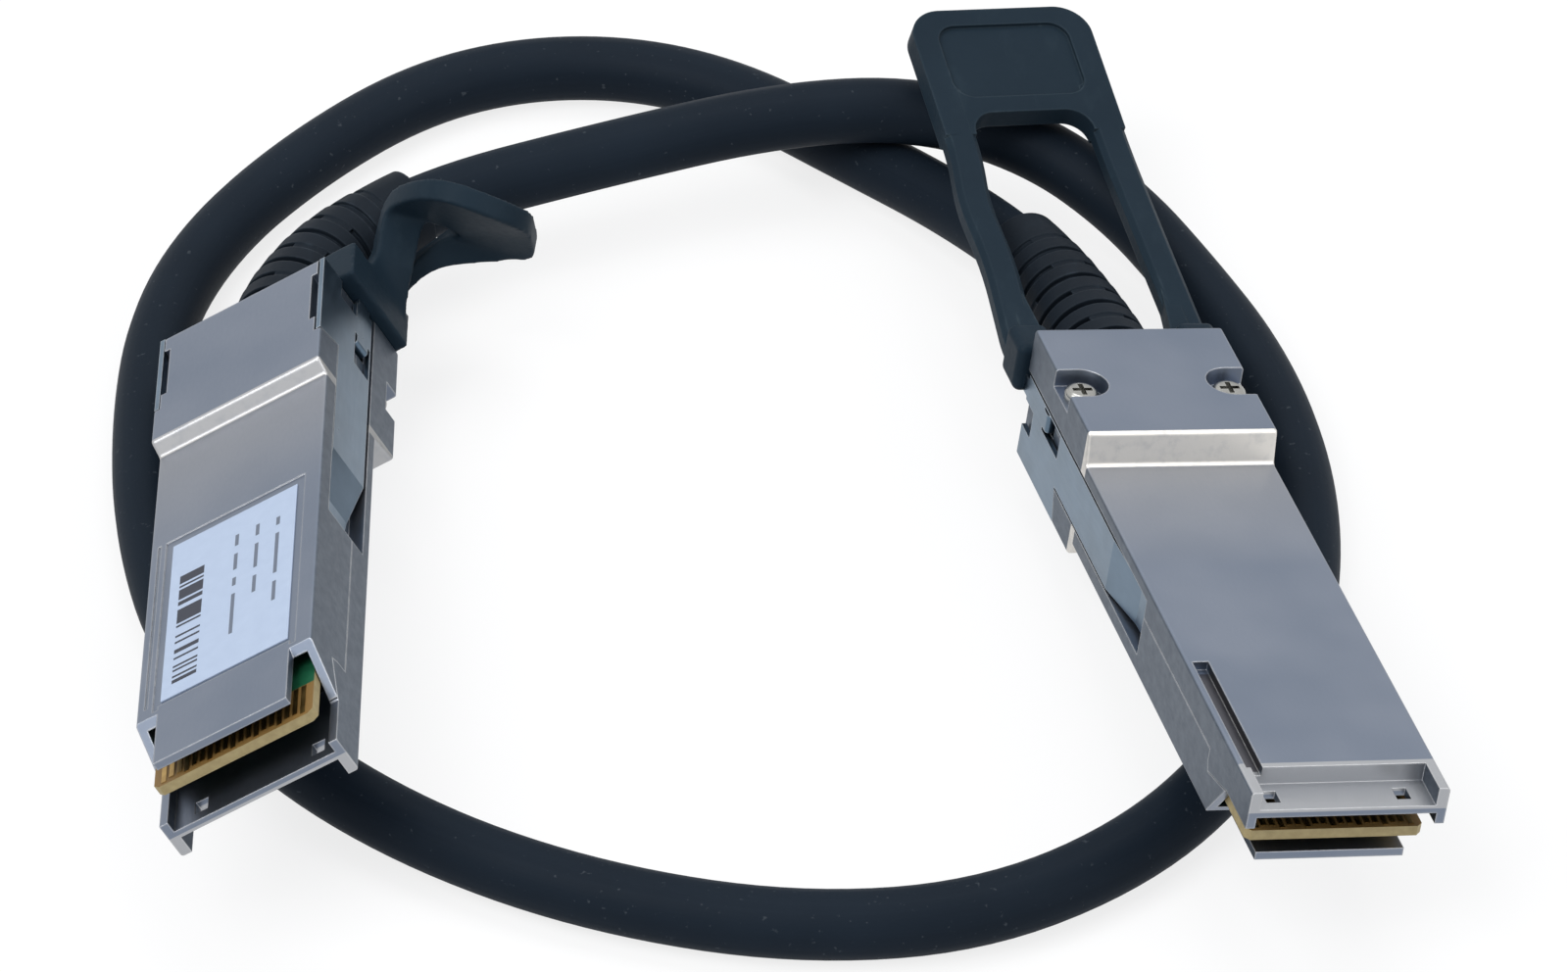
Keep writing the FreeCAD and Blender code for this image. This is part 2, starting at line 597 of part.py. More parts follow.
def make_arm():
    """Near latch arm: a plate at the rear, a strip forward, and a tip that dips into its pocket."""
    tail_low = PARTING_Z - ARM_TAIL_WIDTH / 2
    tail_high = PARTING_Z + ARM_TAIL_WIDTH / 2
    tail_end = ARM_PLATE_END_X + ARM_TAIL_LENGTH
    plate_low = ARM_CLEARANCE / 2 - BASE_RISE
    side_view = [
        (ARM_TIP_X, ARM_TIP_LOW_Z), (ARM_TIP_X, ARM_TIP_HIGH_Z), (ARM_BEND_X, ARM_HIGH_Z),
        (ARM_PLATE_END_X, ARM_HIGH_Z), (ARM_PLATE_END_X, tail_high), (tail_end, tail_high),
        (tail_end, tail_low), (ARM_PLATE_END_X, tail_low), (ARM_PLATE_END_X, plate_low),
        (ARM_PLATE_X, plate_low), (ARM_PLATE_X + ARM_PLATE_LEAN, ARM_LOW_Z), (ARM_BEND_X, ARM_LOW_Z),
    ]
    ramp_end = ARM_BEND_X - ARM_RAMP
    top_view = [
        (REACH, ARM_OUTER_Y), (ARM_BEND_X, ARM_OUTER_Y), (ramp_end, ARM_OUTER_Y - ARM_DIP),
        (0, ARM_OUTER_Y - ARM_DIP), (0, ARM_INNER_Y - ARM_DIP), (ramp_end, ARM_INNER_Y - ARM_DIP),
        (ARM_BEND_X, ARM_INNER_Y), (REACH, ARM_INNER_Y),
    ]
    sheet = plan_prism(top_view, (-PLUG_HEIGHT, 2 * PLUG_HEIGHT))
    arm = side_prism(side_view, (0, PLUG_WIDTH)).common(sheet)
    window_z = (PARTING_Z - WINDOW_WIDTH / 2, PARTING_Z + WINDOW_WIDTH / 2)
    tongue_z = (PARTING_Z - TONGUE_WIDTH / 2, PARTING_Z + TONGUE_WIDTH / 2)
    through = (0, PLUG_WIDTH)
    relief_end = TONGUE_X + TONGUE_RELIEF
    arm = arm.cut([
        box((TONGUE_X - WINDOW_LENGTH, TONGUE_X), through, window_z),
        box((TONGUE_X - 1, relief_end), through, (window_z[0], tongue_z[0])),
        box((TONGUE_X - 1, relief_end), through, (tongue_z[1], window_z[1])),
        box((PLATE_NOTCH_X, ARM_PLATE_END_X + 1), through, PLATE_NOTCH_Z),
    ])
    tongue = box((TONGUE_X, TONGUE_END_X), (ARM_INNER_Y - TONGUE_DEPTH, ARM_OUTER_Y), tongue_z)
    arm = fuse_all([arm, tongue])
    bend = []
    for edge in arm.Edges:
        middle = edge.CenterOfMass
        on_face = abs(middle.x - TONGUE_X) < 0.01 and abs(middle.y - ARM_OUTER_Y) < 0.01
        if on_face and abs(edge.Length - TONGUE_WIDTH) < 0.01:
            bend.append(edge)
    return arm.makeFillet(TONGUE_BEND, bend)


def make_springs():
    half_wire = SPRING_WIRE / 2
    coil_radius = SPRING_OUTER / 2 - half_wire
    steps = SPRING_TURNS * SPRING_STEPS
    points = []
    for step in range(steps + 1):
        angle = 2 * math.pi * step / SPRING_STEPS
        along = half_wire + (SPRING_LENGTH - SPRING_WIRE) * step / steps
        points.append(Vector(along, coil_radius * math.cos(angle), coil_radius * math.sin(angle)))
    runs = [Part.LineSegment(start, end).toShape() for start, end in zip(points, points[1:])]
    signs = ((1, 1), (-1, 1), (-1, -1), (1, -1), (1, 1))
    square = [Vector(0, y * half_wire, z * half_wire) for y, z in signs]
    section = moved(Part.makePolygon(square), path_start(runs))
    coil = Part.Wire(runs).makePipeShell([section], True, False, 1)
    coil.translate(Vector(TONGUE_END_X, SPRING_Y, PARTING_Z))
    return Part.makeCompound(both_sides(coil))


def bridged_disc(core_radius, radius, turn):
    """A disc with two opposite wings, as wide as the webs that join one ring of a boot to the next."""
    half_angle = math.asin(BOOT_WEB / 2 / radius)
    edges = []
    for side in (0, math.pi):
        angles = [side - half_angle, side, side + half_angle, side + math.pi / 2, side + math.pi - half_angle]
        around = [Vector(0, math.cos(angle + turn), math.sin(angle + turn)) for angle in angles]
        edges.append(Part.LineSegment(around[0] * core_radius, around[0] * radius).toShape())
        edges.append(Part.Arc(*[spot * radius for spot in around[:3]]).toShape())
        edges.append(Part.LineSegment(around[2] * radius, around[2] * core_radius).toShape())
        edges.append(Part.Arc(*[spot * core_radius for spot in around[2:]]).toShape())
    return Part.Face(Part.Wire(edges))


def make_boot(path):
    """Ribbed strain relief along the cable's path: a flange in the shells, a neck, rings and a collar."""
    inner_x = FLANGE_START_X + SEAT_CLEARANCE
    ribbed = BOOT_LENGTH - BOOT_COLLAR - BOOT_GAP
    pitch = ribbed / BOOT_RINGS
    bore = disc(CABLE_RADIUS + BOOT_FIT)
    sections = [
        (FLANGE_END_X - inner_x, disc(FLANGE_DIAMETER / 2)),
        (NECK_WALL + BOOT_GAP, disc(NECK_DIAMETER / 2)),
    ]
    for index in range(BOOT_RINGS):
        taper = index / BOOT_RINGS
        radius = (BOOT_ROOT * (1 - taper) + BOOT_TIP * taper) / 2
        sections.append((pitch - BOOT_GROOVE, disc(radius)))
        groove = bridged_disc(BOOT_CORE / 2, radius - BOOT_GROOVE / 4, index * math.pi / 2)
        sections.append((BOOT_GROOVE, groove))
    sections.append((BOOT_COLLAR, disc(BOOT_TIP / 2)))
    distance = inner_x - (PLUG_LENGTH - CABLE_INSET)
    solids = []
    for length, face in sections:
        edges = stretch(path, distance, distance + length)
        solids.extend(carried(moved(face.cut(bore), path_start(edges)), edges))
        distance += length
    return fuse_all(solids)


def strap_face():
    """The chamfered section of a strap, square to x."""
    half_width = STRAP_WIDTH / 2
    half_thick = STRAP_THICK / 2
    corners = []
    for y, z in ((1, 1), (-1, 1), (-1, -1), (1, -1)):
        on_side = Vector(0, y * half_width, z * (half_thick - STRAP_CHAMFER))
        on_top = Vector(0, y * (half_width - STRAP_CHAMFER), z * half_thick)
        corners.extend([on_side, on_top] if y == z else [on_top, on_side])
    return Part.Face(Part.makePolygon(corners + corners[:1]))


def make_grip(ear):
    """The grip plate with its sunk panel. Ears carry it on into the straps and round the window's corners."""
    half_length = GRIP_LENGTH / 2
    half_width = GRIP_WIDTH / 2
    window_y = half_width - STRAP_WIDTH
    corners = [(half_length, -half_width, GRIP_ROUND), (half_length, half_width, GRIP_ROUND)]
    if ear > 0:
        ear_x = -half_length - ear
        corners += [
            (ear_x, half_width, 0), (ear_x, window_y, 0), (-half_length, window_y, GRIP_WINDOW_ROUND),
            (-half_length, -window_y, GRIP_WINDOW_ROUND), (ear_x, -window_y, 0), (ear_x, -half_width, 0),
        ]
    else:
        corners += [(-half_length, half_width, 1.0), (-half_length, -half_width, 1.0)]
    outline = rounded_outline([Vector(x, y, 0) for x, y, _ in corners], [radius for _, _, radius in corners])
    plate = Part.Face(outline).extrude(Z_AXIS * GRIP_THICK)
    plate.translate(Vector(0, 0, -GRIP_THICK / 2))
    panel_x, panel_y = (size / 2 for size in GRIP_PANEL)
    panel_corners = [
        Vector(-panel_x, -panel_y, 0), Vector(panel_x, -panel_y, 0),
        Vector(panel_x, panel_y, 0), Vector(-panel_x, panel_y, 0),
    ]
    panel = Part.Face(rounded_outline(panel_corners, [GRIP_PANEL_ROUND] * 4)).extrude(Z_AXIS * GRIP_THICK)
    panel.translate(Vector(0, 0, GRIP_THICK / 2 - GRIP_PANEL_DEPTH))
    return plate.cut(panel)


def strap_root(start, end, side):
    """A wedge on the inner edge of a strap, which makes it wider where it leaves its block."""
    length = start.distanceToPoint(end)
    wide_y = side * (STRAP_WIDTH / 2 - ROOT_WIDTH)
    narrow_y = side * (STRAP_CHAMFER - STRAP_WIDTH / 2)
    thickness = (-ROOT_THICK / 2, ROOT_THICK / 2)
    wedge = plan_prism([(0, 0), (0, wide_y), (length, narrow_y), (length, 0)], thickness)
    return moved(wedge, Placement(start, Rotation(X_AXIS, end - start)))


def make_tab(grip, straps, ear):
    """Pull tab: a block on each arm's tail, two straps that start wide, and the grip plate."""
    half_length = GRIP_LENGTH / 2
    parts = [moved(make_grip(ear), grip)]
    strap_y = (GRIP_WIDTH - STRAP_WIDTH) / 2
    base_end = TAB_BASE_X + TAB_BASE_LENGTH
    for side in (1, -1):
        y_range = sorted((side * TAB_INNER_Y, side * TAB_OUTER_Y))
        block = box((TAB_BASE_X, base_end), y_range, (TAB_BASE_LOW_Z, TAB_BASE_HIGH_Z))
        parts.append(block.makeFillet(TAB_BASE_ROUND, block.Edges))
        start = Vector(TAB_BASE_X + TAB_BASE_LENGTH / 3, side * TAB_MIDDLE_Y, TAB_STRAP_Z)
        leave = Vector(base_end, start.y, start.z)
        end = grip.multVec(Vector(STRAP_WIDTH - half_length, side * strap_y, 0))
        way = [start, leave] + straps[side]
        if ear > 0:
            way.append(grip.multVec(Vector(-half_length - 2 * ear, side * strap_y, 0)))
        edges, _ = rounded_path(way + [end])
        parts.extend(carried(moved(strap_face(), path_start(edges)), edges))
        parts.append(strap_root(start, path_start(stretch(edges, ROOT_LENGTH, REACH)).Base, side))
    tab = fuse_all(parts)
    return tab.cut(both_sides(make_arm()))


def make_label():
    start = LABEL_X + LABEL_END_MARGIN
    half_width = LABEL_WIDTH / 2
    height = (LABEL_RECESS - LABEL_THICK, LABEL_RECESS)
    return box((start, start + LABEL_LENGTH), (-half_width, half_width), height)


def save(name, shape):
    shape.exportStep("parts/%s.step" % name)
    facts = (name, len(shape.Solids), shape.Volume, shape.isValid())
    print("%-28s solids %3d  volume %9.2f  valid %s" % facts)


os.makedirs("parts", exist_ok=True)

base_shell, cover_shell = make_shells()
near_arm, far_arm = both_sides(make_arm())
alike = {
    "base_shell": base_shell,
    "cover_shell": cover_shell,
    "cover_screws": make_screws(),
    "paddle_card": make_card(),
    "contact_pads": make_pads(),
    "memory_chip": make_chip(),
    "wire_pairs": make_pairs(),
    "crimp_ferrule": make_ferrule(),
    "latch_arm_near": near_arm,
    "latch_arm_far": far_arm,
    "return_springs": make_springs(),
}
left_plug = plug_placement(LEFT_EXIT, LEFT_TURN)
right_plug = plug_placement(RIGHT_EXIT, RIGHT_TURN)
route_start = [on_axis(left_plug, -CABLE_INSET), on_axis(left_plug, LEFT_LEAD)]
route_end = [on_axis(right_plug, RIGHT_LEAD), on_axis(right_plug, -CABLE_INSET)]
route = route_start + ROUTE_MIDDLE + route_end
cable_edges, cable_radii = rounded_path(route)
cable = round_tube(cable_edges, CABLE_RADIUS)
cable_length = sum(edge.Length for edge in cable_edges)
return_edges, _ = rounded_path(route[::-1])
ends = {
    "left": (left_plug, cable_edges, make_tab(LEFT_GRIP, LEFT_STRAPS, 0)),
    "right": (right_plug, return_edges, make_tab(RIGHT_GRIP, RIGHT_STRAPS, GRIP_EAR)),
}
for end, (placement, path, tab) in ends.items():
    for name, shape in alike.items():
        save("%s_%s" % (end, name), moved(shape, placement))
    save("%s_strain_relief" % end, make_boot(path))
    save("%s_pull_tab" % end, moved(tab, placement))
save("left_label", moved(make_label(), left_plug))
save("cable_jacket", cable)

section = math.pi * CABLE_RADIUS ** 2
print("cable: length %.1f, radii %s" % (cable_length, " ".join("%.0f" % radius for radius in cable_radii)))
print("cable: volume over section times length %.4f" % (cable.Volume / (section * cable_length)))
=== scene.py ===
import math

import bmesh
import bpy
from mathutils import Euler, Matrix, Vector


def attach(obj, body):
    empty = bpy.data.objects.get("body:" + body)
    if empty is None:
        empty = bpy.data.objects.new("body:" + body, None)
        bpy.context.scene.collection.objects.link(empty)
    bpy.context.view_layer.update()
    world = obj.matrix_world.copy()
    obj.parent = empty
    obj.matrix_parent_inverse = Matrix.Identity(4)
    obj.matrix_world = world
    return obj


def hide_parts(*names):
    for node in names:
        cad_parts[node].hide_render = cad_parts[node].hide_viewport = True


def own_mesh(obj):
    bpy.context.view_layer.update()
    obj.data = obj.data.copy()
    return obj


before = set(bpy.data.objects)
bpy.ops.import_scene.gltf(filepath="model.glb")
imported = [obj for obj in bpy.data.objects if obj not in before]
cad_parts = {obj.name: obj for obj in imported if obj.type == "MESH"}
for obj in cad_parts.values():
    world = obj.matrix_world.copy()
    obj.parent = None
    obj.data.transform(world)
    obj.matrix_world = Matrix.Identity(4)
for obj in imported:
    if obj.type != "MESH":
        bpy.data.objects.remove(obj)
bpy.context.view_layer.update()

MM = 0.001

# The photograph is 1600 by 992 pixels, taken with a long lens from 40 degrees above the table
PHOTO_WIDTH = 1600
PHOTO_HEIGHT = 992
FOCAL_PIXELS = 8831.65
SENSOR_WIDTH = 36.0
CAMERA_PLACE = Vector((0.3, -618.1, 525.75)) * MM
CAMERA_ELEVATION = 40.0
CAMERA_NEAREST = 0.01

# Where each plug's cable comes out of its rear face, the plug's yaw, pitch and roll,
# and that point in the plug's own frame
PLUG_EXIT = {"left": Vector((-47.36, 17.05, 10.10)) * MM, "right": Vector((31.66, 11.2, 9.82)) * MM}
PLUG_TURN = {"left": (90.7, 6.9, 149.6), "right": (104.2, 6.3, 9.7)}
EXIT_IN_PLUG = Vector((72.3, 0.0, 5.1)) * MM

# Places on a plug where its finish changes, in its own frame: the stretch before the step, painted lighter
# and warmer as painted light, the step with its painted highlight and how strong that is, the nose's ledge
# with a painted highlight, the slot beside it with painted shade, and the bare tip of the card
PAINTED_LIGHT_NEAR_STEP_X = (36.0 * MM, 53.0 * MM)
PAINTED_LIGHT_NEAR_STEP_END_X = 53.2 * MM
STEP_X = (53.0 * MM, 54.2 * MM)
STEP_PAINTED_HIGHLIGHT = {"left": 0.5, "right": 1.0}
NOSE_LEDGE_X = 4.6 * MM
SLOT_X = (4.6 * MM, 20.0 * MM)
SLOT_Y = 8.6 * MM
SLOT_Z = (6.4 * MM, 8.3 * MM)
CARD_TIP_X = 6.6 * MM

# The label's print in the plug's frame: a block of bars, then rows of dashes, each with its span
# across and its span along. The gap share is how much of the print is left out.
BAR_PITCH = 0.32 * MM
BAR_GAP_SHARE = 0.45
BARS_ALONG = (13.5 * MM, 31.7 * MM)
BARS_ACROSS = (-5.6 * MM, -3.0 * MM)
DASH_PITCH = 1.3 * MM
DASH_GAP_SHARE = 0.25
DASH_ROW_PITCH = 2.1 * MM
DASH_ROW_STRIDE = 37.0
DASH_ROWS = [
    ((0.2 * MM, 0.6 * MM), (17.0 * MM, 33.0 * MM)),
    ((2.4 * MM, 2.8 * MM), (22.0 * MM, 33.0 * MM)),
    ((4.6 * MM, 5.0 * MM), (19.0 * MM, 33.0 * MM)),
]

# The cable's route from inside the left plug to inside the right one
CABLE_DIAMETER = 6.4 * MM
CABLE_ORDER = 3
CABLE_STEPS = 8
CABLE_FACETS = 7
CABLE_ROUTE = [
    (-47.26, 8.81, 11.1), (-47.41, 21.42, 9.57), (-43.0, 32.3, 9.0), (-33.7, 40.8, 9.1), (-17.2, 46.9, 9.8),
    (-0.7, 52.4, 10.4), (13.1, 53.7, 10.4), (24.6, 50.5, 8.6), (33.3, 43.8, 6.0), (39.3, 34.9, 4.2),
    (45.0, 23.9, 3.2), (48.5, 10.2, 3.2), (49.3, -4.5, 3.2), (47.3, -19.1, 3.2), (42.0, -33.4, 3.2),
    (32.3, -46.1, 3.2), (18.0, -54.8, 3.2), (1.3, -56.4, 3.2), (-16.2, -52.4, 3.2), (-31.7, -44.7, 3.2),
    (-44.9, -33.6, 3.2), (-54.7, -19.1, 3.2), (-59.1, -2.3, 3.2), (-60.3, 14.6, 3.2), (-59.5, 29.8, 3.2),
    (-54.9, 42.9, 3.2), (-46.5, 54.9, 3.2), (-36.4, 64.9, 3.2), (-25.9, 69.4, 3.2), (-14.4, 69.5, 3.2),
    (-3.7, 65.1, 3.2), (6.6, 56.0, 3.4), (16.5, 45.5, 5.0), (24.4, 33.4, 7.4), (29.67, 19.05, 8.93),
    (33.68, 3.2, 10.73),
]

# The left pull tab, pushed over by its cable. Its foot on each side of the plug, in the plug's
# frame in mm: low and high corner. Then the ribbon round its window, from foot to foot: a point of
# the outer edge and one of the inner edge. Near a foot they are in the plug's frame. Elsewhere they
# are a pixel of the photograph, across and down, and a depth in mm beyond the object's middle.
TAB_THICK = 2.2 * MM
TAB_SUBDIVISIONS = 3
TAB_VOXEL = 0.22 * MM
TAB_SMOOTHING = {"factor": 0.5, "iterations": 5}
TAB_FEET = [((72.6, 6.6, 1.8), (78.2, 10.2, 11.6)), ((72.6, -10.2, 4.4), (77.2, -6.4, 9.4))]
NEAR_ROOT = [((74.0, 8.9, 4.6), (74.0, 8.9, 11.2)), ((78.6, 9.1, 4.8), (78.6, 9.1, 11.2))]
TAB_RIBBON = [
    ((381, 264, 11.0), (419, 276, 12.0)), ((384, 243, 11.5), (424, 253, 12.5)),
    ((388, 221, 12.5), (429, 233, 13.2)), ((396, 203, 12.0), (436, 221, 13.6)),
    ((415, 194, 9.0), (446, 219, 13.5)), ((441, 191, 6.5), (455, 221, 13.0)),
    ((469, 198, 5.5), (462, 224, 12.8)), ((498, 209, 6.0), (466, 226, 12.8)),
    ((521, 218, 7.5), (468, 228, 13.0)), ((536, 225, 9.5), (469, 229, 13.3)),
    ((543, 229, 11.0), (469, 230, 13.6)), ((545, 239, 13.3), (469, 231, 14.0)),
    ((548, 252, 15.6), (468, 232, 14.4)), ((543, 257, 16.4), (466, 233, 14.8)),
    ((526, 259, 16.8), (463, 234, 15.2)), ((497, 264, 17.0), (458, 237, 15.6)),
    ((467, 269, 16.6), (449, 242, 15.8)), ((440, 273, 15.8), (433, 254, 15.4)),
    ((413, 293, 15.6), (410, 273, 14.8)), ((399, 333, 19.2), (398, 311, 17.0)),
]
FAR_ROOT = [
    ((83.0, 3.2, 13.6), (86.2, 3.2, 13.2)), ((82.4, -3.6, 11.2), (85.6, -3.6, 11.0)),
    ((79.0, -7.8, 9.4), (80.4, -6.8, 7.0)), ((74.0, -8.4, 8.4), (74.0, -8.4, 5.2)),
]

# The return springs in each plug's frame, in mm: two coils along x
SPRING_X = (65.5, 70.9)
SPRING_Y = 7.675
SPRING_Z = 5.6
SPRING_RADIUS = 0.75
SPRING_WIRE_RADIUS = 0.15
SPRING_WIRE_SIDES = 8
SPRING_TURNS = 5
SPRING_STEPS = 90

# Settings that every finish shares
NOISE_ROUGHNESS = 0.55
BEVEL_SAMPLES = 6

# The studio: half the floor's side in metres, its colour, how much of its white is its own light,
# and the colour and strength of the surround
WHITE = (1.0, 1.0, 1.0, 1.0)
FLOOR_HALF = 3.0
FLOOR_COLOUR = (0.86, 0.86, 0.87, 1.0)
FLOOR_GLOW = 0.8
SURROUND_COLOUR = (0.92, 0.96, 1.0, 1.0)
SURROUND_STRENGTH = 0.45


def place_camera():
    lens = bpy.data.cameras.new("photo_camera")
    lens.sensor_fit = "HORIZONTAL"
    lens.sensor_width = SENSOR_WIDTH
    lens.lens = FOCAL_PIXELS / PHOTO_WIDTH * SENSOR_WIDTH
    lens.clip_start = CAMERA_NEAREST
    camera = bpy.data.objects.new("photo_camera", lens)
    camera.location = CAMERA_PLACE
    camera.rotation_euler = (math.radians(90.0 - CAMERA_ELEVATION), 0.0, 0.0)
    bpy.context.collection.objects.link(camera)
    bpy.context.scene.camera = camera


def lay_cable():
    """The jacket as one smooth curve along the route. Its points' radius is the cable's."""
    line = bpy.data.curves.new("cable", "CURVE")
    line.dimensions = "3D"
    line.resolution_u = CABLE_STEPS
    line.bevel_depth = 1.0
    line.bevel_resolution = CABLE_FACETS
    line.use_fill_caps = True
    spline = line.splines.new("NURBS")
    spline.points.add(len(CABLE_ROUTE) - 1)
    for point, place in zip(spline.points, CABLE_ROUTE):
        point.co = (*(Vector(place) * MM), 1.0)
        point.radius = CABLE_DIAMETER / 2
    spline.use_endpoint_u = True
    spline.order_u = CABLE_ORDER
    cable = bpy.data.objects.new("cable", line)
    bpy.context.collection.objects.link(cable)
    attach(cable, "cable")
    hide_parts("cable_jacket")
    return cable


def in_photo(across, down, depth):
    """The place seen at a pixel of the photograph, that many mm beyond the middle of the object."""
    tilt = math.radians(CAMERA_ELEVATION)
    ahead = Vector((0.0, math.cos(tilt), -math.sin(tilt)))
    up = Vector((0.0, math.sin(tilt), math.cos(tilt)))
    sight = ahead + up * ((PHOTO_HEIGHT / 2 - down) / FOCAL_PIXELS)
    sight.x = (across - PHOTO_WIDTH / 2) / FOCAL_PIXELS
    return CAMERA_PLACE + sight * (depth * MM - CAMERA_PLACE.dot(ahead))


def on_plug(end, place):
    """A place in the plug's own frame, in mm, as a place in the object's frame."""
    return PLUG_EXIT[end] + plug_turn(end).to_matrix() @ (Vector(place) * MM - EXIT_IN_PLUG)


def tab_ribbon():
    """The tab's middle sheet: one edge, extruded from foot to foot round the window."""
    pairs = [[on_plug("left", place) for place in pair] for pair in NEAR_ROOT]
    pairs += [[in_photo(*place) for place in pair] for pair in TAB_RIBBON]
    pairs += [[on_plug("left", place) for place in pair] for pair in FAR_ROOT]
    shape = bmesh.new()
    outer, inner = (shape.verts.new(place) for place in pairs[0])
    rim = shape.edges.new((outer, inner))
    for outer_place, inner_place in pairs[1:]:
        grown = bmesh.ops.extrude_edge_only(shape, edges=[rim])["geom"]
        fresh = [item for item in grown if isinstance(item, bmesh.types.BMVert)]
        fresh.sort(key=lambda vert: (vert.co - outer.co).length)
        outer, inner = fresh
        outer.co, inner.co = outer_place, inner_place
        rim = shape.edges.get((outer, inner))
    mesh = bpy.data.meshes.new("tab_ribbon")
    shape.to_mesh(mesh)
    shape.free()
    return mesh


def finished_mesh(mesh, modifiers):
    """The mesh as its modifiers leave it."""
    holder = bpy.data.objects.new("holder", mesh)
    bpy.context.collection.objects.link(holder)
    for kind, settings in modifiers:
        modifier = holder.modifiers.new(kind.lower(), kind)
        for key, value in settings.items():
            setattr(modifier, key, value)
    seen = holder.evaluated_get(bpy.context.evaluated_depsgraph_get())
    done = bpy.data.meshes.new_from_object(seen)
    bpy.data.objects.remove(holder)
    return done


def bend_left_tab():
    """The left pull tab: its ribbon and feet, melted into one rounded moulding."""
    sheet = finished_mesh(tab_ribbon(), [
        ("SUBSURF", {"levels": TAB_SUBDIVISIONS, "render_levels": TAB_SUBDIVISIONS}),
        ("SOLIDIFY", {"thickness": TAB_THICK, "offset": 0.0}),
    ])
    shape = bmesh.new()
    shape.from_mesh(sheet)
    turn = plug_turn("left").to_matrix().to_4x4()
    for low, high in TAB_FEET:
        foot = bmesh.ops.create_cube(shape, size=1.0)["verts"]
        bmesh.ops.scale(shape, vec=(Vector(high) - Vector(low)) * MM, verts=foot)
        bmesh.ops.rotate(shape, matrix=turn, verts=foot)
        bmesh.ops.translate(shape, vec=on_plug("left", (Vector(low) + Vector(high)) / 2), verts=foot)
    mesh = bpy.data.meshes.new("left_tab_parts")
    shape.to_mesh(mesh)
    shape.free()
    moulding = finished_mesh(mesh, [
        ("REMESH", {"mode": "VOXEL", "voxel_size": TAB_VOXEL, "use_smooth_shade": True}),
        ("SMOOTH", TAB_SMOOTHING),
    ])
    tab = bpy.data.objects.new("left_bent_tab", moulding)
    bpy.context.collection.objects.link(tab)
    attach(tab, "left_latch")
    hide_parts("left_pull_tab")
    return tab


def wind_springs(end):
    """The two return springs of a plug, each a ring of wire spun into a coil."""
    start, stop = SPRING_X
    length = stop - start
    rise = (length - 2 * SPRING_WIRE_RADIUS) / SPRING_STEPS
    shape = bmesh.new()
    for side in (SPRING_Y, -SPRING_Y):
        ring = bmesh.ops.create_circle(
            shape,
            segments=SPRING_WIRE_SIDES,
            radius=SPRING_WIRE_RADIUS,
            cap_ends=True,
        )["verts"]
        first = (start + SPRING_WIRE_RADIUS, side + SPRING_RADIUS, SPRING_Z)
        bmesh.ops.translate(shape, vec=first, verts=ring)
        edges = {edge for vert in ring for edge in vert.link_edges}
        faces = {face for vert in ring for face in vert.link_faces}
        bmesh.ops.spin(
            shape,
            geom=[*ring, *edges, *faces],
            cent=(0.0, side, SPRING_Z),
            axis=(1.0, 0.0, 0.0),
            dvec=(rise, 0.0, 0.0),
            angle=math.tau * SPRING_TURNS,
            steps=SPRING_STEPS,
        )
    to_object = Matrix.Translation(on_plug(end, (0.0, 0.0, 0.0))) @ plug_turn(end).to_matrix().to_4x4()
    bmesh.ops.transform(shape, matrix=to_object @ Matrix.Scale(MM, 4), verts=shape.verts)
    bmesh.ops.recalc_face_normals(shape, faces=shape.faces)
    for face in shape.faces:
        face.smooth = True
    mesh = bpy.data.meshes.new("%s_coil_springs" % end)
    shape.to_mesh(mesh)
    shape.free()
    springs = bpy.data.objects.new("%s_coil_springs" % end, mesh)
    bpy.context.collection.objects.link(springs)
    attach(springs, "cable")
    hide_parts("%s_return_springs" % end)
    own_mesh(springs)
    return springs


class Channel:
    """A socket that takes part in arithmetic. Each operator adds a Math node to the tree it belongs to."""

    def __init__(self, tree, socket):
        self.tree = tree
        self.socket = socket

    def maths(self, operation, *values):
        return self.tree.node("ShaderNodeMath", {"operation": operation}, dict(enumerate(values)))

    def __add__(self, other):
        return self.maths("ADD", self, other)

    __radd__ = __add__

    def __mul__(self, other):
        return self.maths("MULTIPLY", self, other)

    __rmul__ = __mul__

    def __sub__(self, other):
        return self.maths("SUBTRACT", self, other)

    def __rsub__(self, other):
        return self.maths("SUBTRACT", other, self)

    def __truediv__(self, other):
        return self.maths("DIVIDE", self, other)

    def __rtruediv__(self, other):
        return self.maths("DIVIDE", other, self)

    def __gt__(self, other):
        return self.maths("GREATER_THAN", self, other)

    def __lt__(self, other):
        return self.maths("LESS_THAN", self, other)

    def __abs__(self):
        return self.maths("ABSOLUTE", self)

    def or_more(self, other):
        return self.maths("MAXIMUM", self, other)

    def whole(self):
        return self.maths("FLOOR", self)

    def between(self, low, high):
        return (self > low) * (self < high)

    def fade(self, low, high):
        """0 below low, 1 above high, and even between them."""
        return ((self - low) / (high - low)).clamped()

    def clamped(self):
        return self.tree.node("ShaderNodeClamp", {}, {0: self})


